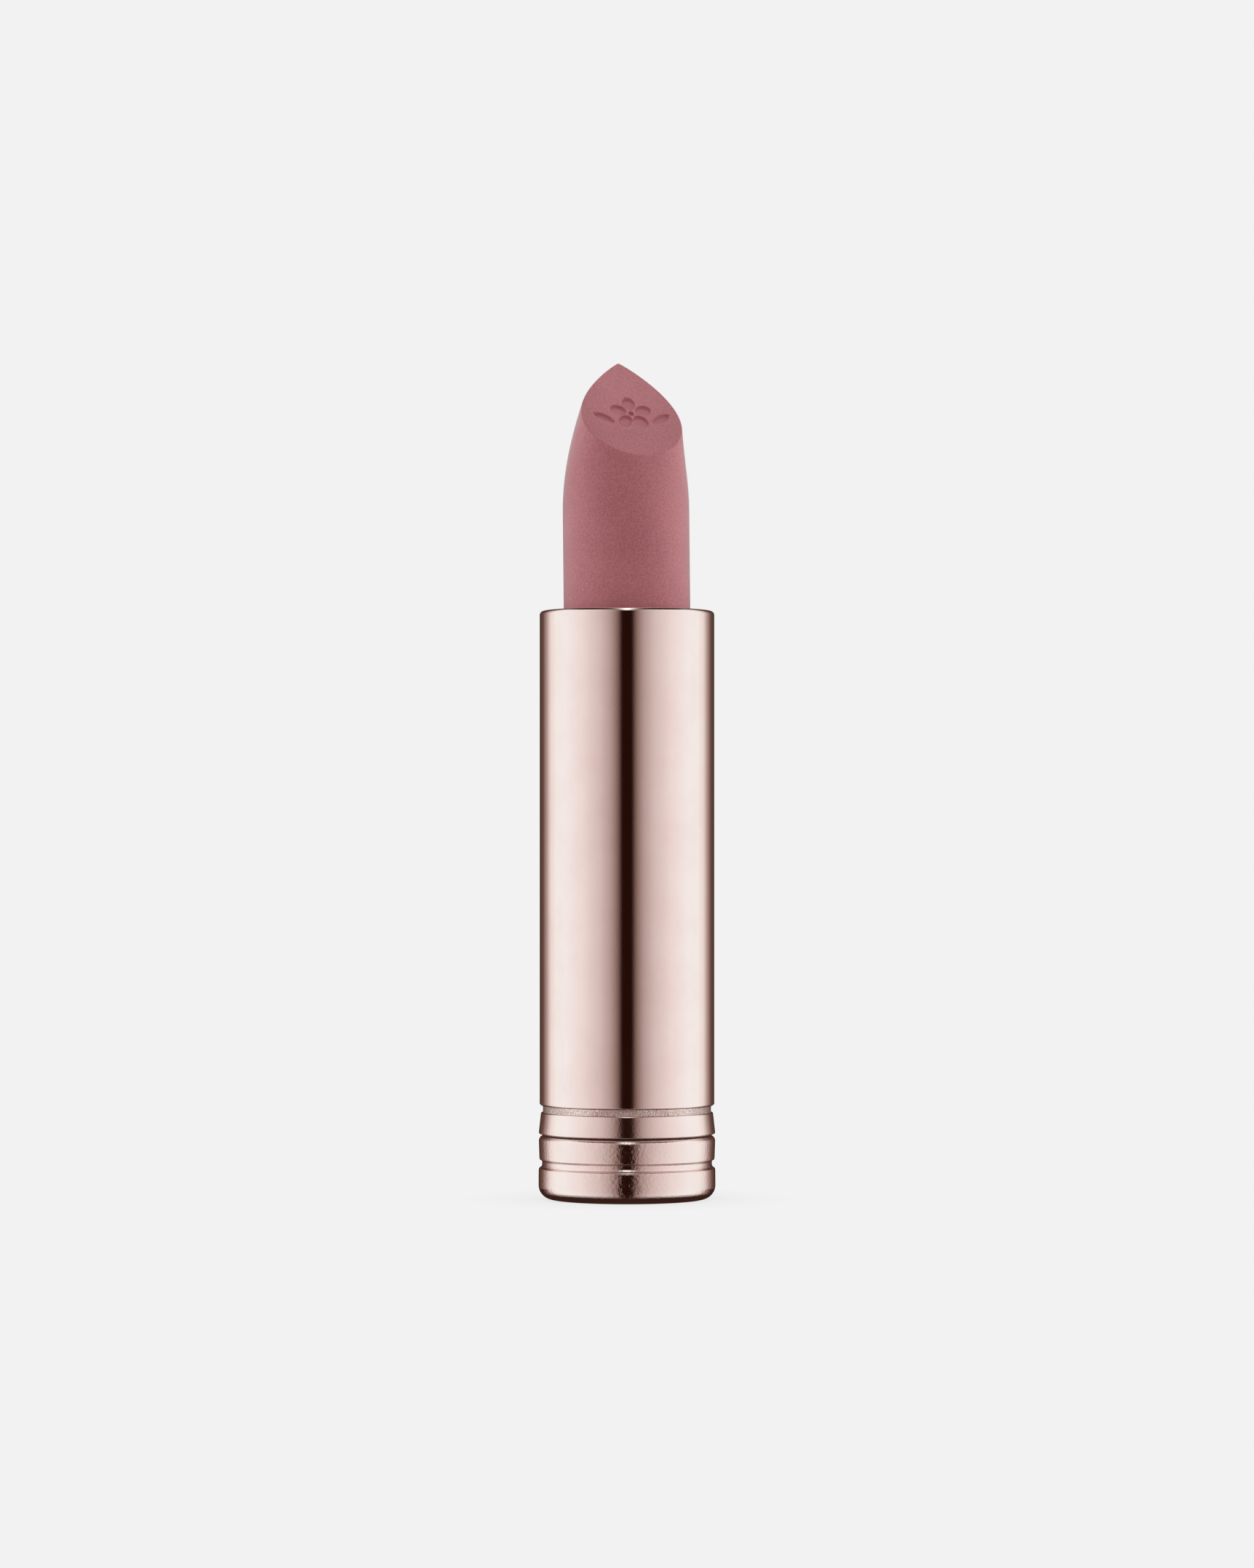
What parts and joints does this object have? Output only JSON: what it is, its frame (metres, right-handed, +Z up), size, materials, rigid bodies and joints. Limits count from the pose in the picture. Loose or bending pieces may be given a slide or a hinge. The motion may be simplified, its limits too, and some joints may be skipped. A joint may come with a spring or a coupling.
{
  "type": "lipstick cartridge",
  "caption": "Twist-up lipstick cartridge: a turning metal sleeve on a banded base raises a cup that carries a slanted bullet.",
  "frame": {"origin": "centre of the underside of the foot, on the axis", "axes": "+Z up along the axis to the bullet's tip, -Y towards the side that the bullet's slanted face looks at"},
  "size_m": [0.017, 0.017, 0.0802],
  "materials": {
    "rose_metal": "polished, anodised rose gold",
    "sparkling_metal": "bead-blasted, sparkling rose gold",
    "core_plastic": "moulded, satin",
    "guide_plastic": "moulded, natural",
    "cup_plastic": "metallised rose gold",
    "brake_rubber": "soft, greased",
    "weight_steel": "turned, zinc plated",
    "label_paper": "blank printed film, satin",
    "pomade": "moulded mauve-pink pomade, matte"
  },
  "bodies": {
    "base": {"base_shell": "rose_metal", "snap_collar": "rose_metal", "glide_ring": "sparkling_metal", "base_insert": "core_plastic", "guide_tube": "guide_plastic", "brake_o_ring": "brake_rubber", "base_weight": "weight_steel", "foot_label": "label_paper"},
    "sleeve": {"outer_sleeve": "rose_metal", "cam_sleeve": "guide_plastic"},
    "cup": {"carrier_cup": "cup_plastic", "lipstick_bullet": "pomade"}
  },
  "joints": [
    {"name": "sleeve_twist", "type": "hinge", "parent": "base", "child": "sleeve", "pos_m": [0, 0, 0.03], "axis": [0, 0, 1], "range_deg": [-30, 510]},
    {"name": "cup_lift", "type": "slide", "parent": "base", "child": "cup", "axis": [0, 0, 1], "range_m": [-0.0256, 0.0016]}
  ],
  "couplings": [
    {"joint": "cup_lift", "follows": "sleeve_twist", "m_per_rad": -0.0028648}
  ]
}
